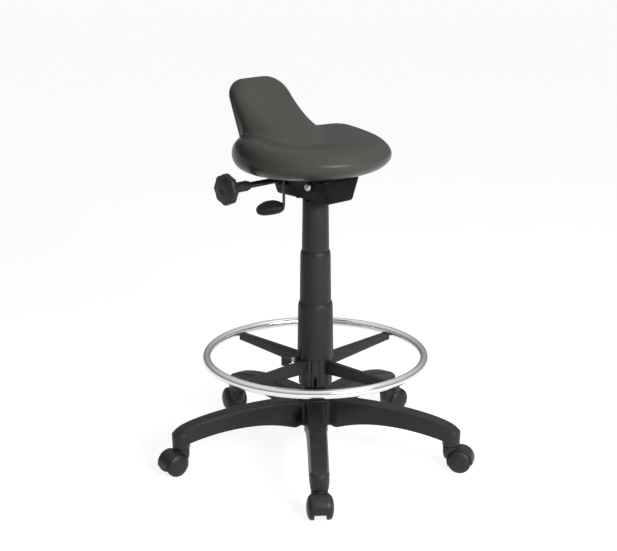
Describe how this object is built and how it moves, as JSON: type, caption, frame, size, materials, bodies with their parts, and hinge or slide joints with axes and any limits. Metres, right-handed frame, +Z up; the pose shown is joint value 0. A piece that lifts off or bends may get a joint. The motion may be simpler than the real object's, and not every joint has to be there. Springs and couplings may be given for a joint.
{
  "type": "perch stool",
  "caption": "Perch stool: moulded seat with a low backrest on a tilting gas lift, with a chrome foot ring and a five-star base on twin-wheel castors.",
  "frame": {"origin": "on the floor, under the middle of the whole stool's bounding box", "axes": "+Z up, -Y the way the sitter faces, -X the sitter's right, where the lever and the knob are"},
  "size_m": [0.6712, 0.6638, 0.8016],
  "materials": {
    "nylon": "black glass-filled nylon, satin with a fine grain",
    "cover_plastic": "black polypropylene, satin",
    "seat_foam": "soft moulding with a grained satin skin",
    "chrome": "bright chrome plate",
    "painted_steel": "black powder coat",
    "bright_steel": "zinc plated or ground",
    "plywood": "bare plywood",
    "acetal": "natural acetal"
  },
  "bodies": {
    "base": {"star_base": "nylon", "column_tube": "painted_steel", "guide_bush": "acetal", "thrust_bearing": "bright_steel"},
    "foot_rest": {"ring_spider": "nylon", "foot_ring": "chrome", "lower_cover": "cover_plastic"},
    "ring_lock": {"ring_lock_knob": "nylon", "ring_lock_screw": "bright_steel"},
    "mid_sleeve": {"middle_cover": "cover_plastic"},
    "rod": {"piston_rod": "bright_steel", "rod_clip": "bright_steel"},
    "lift": {"gas_cylinder": "bright_steel", "top_cover": "cover_plastic", "tilt_housing": "painted_steel", "pivot_bolt": "bright_steel", "pivot_nut": "bright_steel", "clamp_nut": "bright_steel"},
    "pin": {"release_pin": "bright_steel"},
    "lever": {"lever_wire": "bright_steel", "lever_paddle": "nylon"},
    "clamp": {"clamp_rod": "bright_steel", "tilt_knob": "nylon"},
    "seat": {"seat_bracket": "painted_steel", "seat_moulding": "seat_foam", "seat_board": "plywood", "seat_bolt_1": "bright_steel", "seat_bolt_2": "bright_steel", "seat_bolt_3": "bright_steel", "seat_bolt_4": "bright_steel"},
    "castor_1": {"castor_stem_1": "bright_steel", "castor_hood_1": "nylon", "castor_axle_1": "bright_steel"},
    "wheel_1_left": {"castor_wheel_1_left": "nylon"},
    "wheel_1_right": {"castor_wheel_1_right": "nylon"},
    "castor_2": {"castor_stem_2": "bright_steel", "castor_hood_2": "nylon", "castor_axle_2": "bright_steel"},
    "wheel_2_left": {"castor_wheel_2_left": "nylon"},
    "wheel_2_right": {"castor_wheel_2_right": "nylon"},
    "castor_3": {"castor_stem_3": "bright_steel", "castor_hood_3": "nylon", "castor_axle_3": "bright_steel"},
    "wheel_3_left": {"castor_wheel_3_left": "nylon"},
    "wheel_3_right": {"castor_wheel_3_right": "nylon"},
    "castor_4": {"castor_stem_4": "bright_steel", "castor_hood_4": "nylon", "castor_axle_4": "bright_steel"},
    "wheel_4_left": {"castor_wheel_4_left": "nylon"},
    "wheel_4_right": {"castor_wheel_4_right": "nylon"},
    "castor_5": {"castor_stem_5": "bright_steel", "castor_hood_5": "nylon", "castor_axle_5": "bright_steel"},
    "wheel_5_left": {"castor_wheel_5_left": "nylon"},
    "wheel_5_right": {"castor_wheel_5_right": "nylon"}
  },
  "joints": [
    {"name": "foot_ring_height", "type": "slide", "parent": "base", "child": "foot_rest", "axis": [0, 0, 1], "range_m": [-0.025, 0.024]},
    {"name": "ring_lock_turn", "type": "hinge", "parent": "foot_rest", "child": "ring_lock", "pos_m": [-0.0466, 0.01463, 0.216], "axis": [-0.7314, 0.682, 0], "range_deg": [0, 180]},
    {"name": "mid_sleeve_slide", "type": "slide", "parent": "base", "child": "mid_sleeve", "axis": [0, 0, 1], "range_m": [-0.0525, 0.0175]},
    {"name": "seat_swivel", "type": "hinge", "parent": "base", "child": "rod", "pos_m": [-0.0093, -0.02016, 0.076], "axis": [0, 0, 1], "continuous": true},
    {"name": "seat_height", "type": "slide", "parent": "rod", "child": "lift", "axis": [0, 0, 1], "range_m": [-0.15, 0.05]},
    {"name": "seat_tilt", "type": "hinge", "parent": "lift", "child": "seat", "pos_m": [-0.0093, -0.05216, 0.607], "axis": [1, 0, 0], "range_deg": [-3, 8]},
    {"name": "tilt_clamp_turn", "type": "hinge", "parent": "lift", "child": "clamp", "pos_m": [-0.1413, 0.03784, 0.608], "axis": [-1, 0, 0], "range_deg": [0, 180]},
    {"name": "lever_lift", "type": "hinge", "parent": "lift", "child": "lever", "pos_m": [-0.03417, 0.00303, 0.6108], "axis": [0.682, 0.7314, 0], "range_deg": [0, 7], "stiffness_Nm_per_rad": 1},
    {"name": "pin_press", "type": "slide", "parent": "lift", "child": "pin", "axis": [0, 0, 1], "range_m": [-0.0042, 0]},
    {"name": "castor_swivel_1", "type": "hinge", "parent": "base", "child": "castor_1", "pos_m": [0.28379, 0.04385, 0.049], "axis": [0, 0, 1], "continuous": true},
    {"name": "wheel_1_left_roll", "type": "hinge", "parent": "castor_1", "child": "wheel_1_left", "pos_m": [0.30519, 0.04173, 0.025], "axis": [0.099, 0.9951, 0], "continuous": true},
    {"name": "wheel_1_right_roll", "type": "hinge", "parent": "castor_1", "child": "wheel_1_right", "pos_m": [0.30519, 0.04173, 0.025], "axis": [0.099, 0.9951, 0], "continuous": true},
    {"name": "castor_swivel_2", "type": "hinge", "parent": "base", "child": "castor_2", "pos_m": [0.02039, 0.27837, 0.049], "axis": [0, 0, 1], "continuous": true},
    {"name": "wheel_2_left_roll", "type": "hinge", "parent": "castor_2", "child": "wheel_2_left", "pos_m": [0.02728, 0.29874, 0.025], "axis": [-0.9473, 0.3203, 0], "continuous": true},
    {"name": "wheel_2_right_roll", "type": "hinge", "parent": "castor_2", "child": "wheel_2_right", "pos_m": [0.02728, 0.29874, 0.025], "axis": [-0.9473, 0.3203, 0], "continuous": true},
    {"name": "castor_swivel_3", "type": "hinge", "parent": "base", "child": "castor_3", "pos_m": [-0.28404, 0.10033, 0.049], "axis": [0, 0, 1], "continuous": true},
    {"name": "wheel_3_left_roll", "type": "hinge", "parent": "castor_3", "child": "wheel_3_left", "pos_m": [-0.30547, 0.10209, 0.025], "axis": [-0.0816, -0.9967, 0], "continuous": true},
    {"name": "wheel_3_right_roll", "type": "hinge", "parent": "castor_3", "child": "wheel_3_right", "pos_m": [-0.30547, 0.10209, 0.025], "axis": [-0.0816, -0.9967, 0], "continuous": true},
    {"name": "castor_swivel_4", "type": "hinge", "parent": "base", "child": "castor_4", "pos_m": [-0.20879, -0.24422, 0.049], "axis": [0, 0, 1], "continuous": true},
    {"name": "wheel_4_left_roll", "type": "hinge", "parent": "castor_4", "child": "wheel_4_left", "pos_m": [-0.22252, -0.26077, 0.025], "axis": [0.7696, -0.6385, 0], "continuous": true},
    {"name": "wheel_4_right_roll", "type": "hinge", "parent": "castor_4", "child": "wheel_4_right", "pos_m": [-0.22252, -0.26077, 0.025], "axis": [0.7696, -0.6385, 0], "continuous": true},
    {"name": "castor_swivel_5", "type": "hinge", "parent": "base", "child": "castor_5", "pos_m": [0.14215, -0.27912, 0.049], "axis": [0, 0, 1], "continuous": true},
    {"name": "wheel_5_left_roll", "type": "hinge", "parent": "castor_5", "child": "wheel_5_left", "pos_m": [0.153, -0.29768, 0.025], "axis": [0.8632, 0.5048, 0], "continuous": true},
    {"name": "wheel_5_right_roll", "type": "hinge", "parent": "castor_5", "child": "wheel_5_right", "pos_m": [0.153, -0.29768, 0.025], "axis": [0.8632, 0.5048, 0], "continuous": true}
  ],
  "couplings": [
    {"joint": "mid_sleeve_slide", "follows": "seat_height", "ratio": 0.35},
    {"joint": "pin_press", "follows": "lever_lift", "m_per_rad": -0.034}
  ]
}
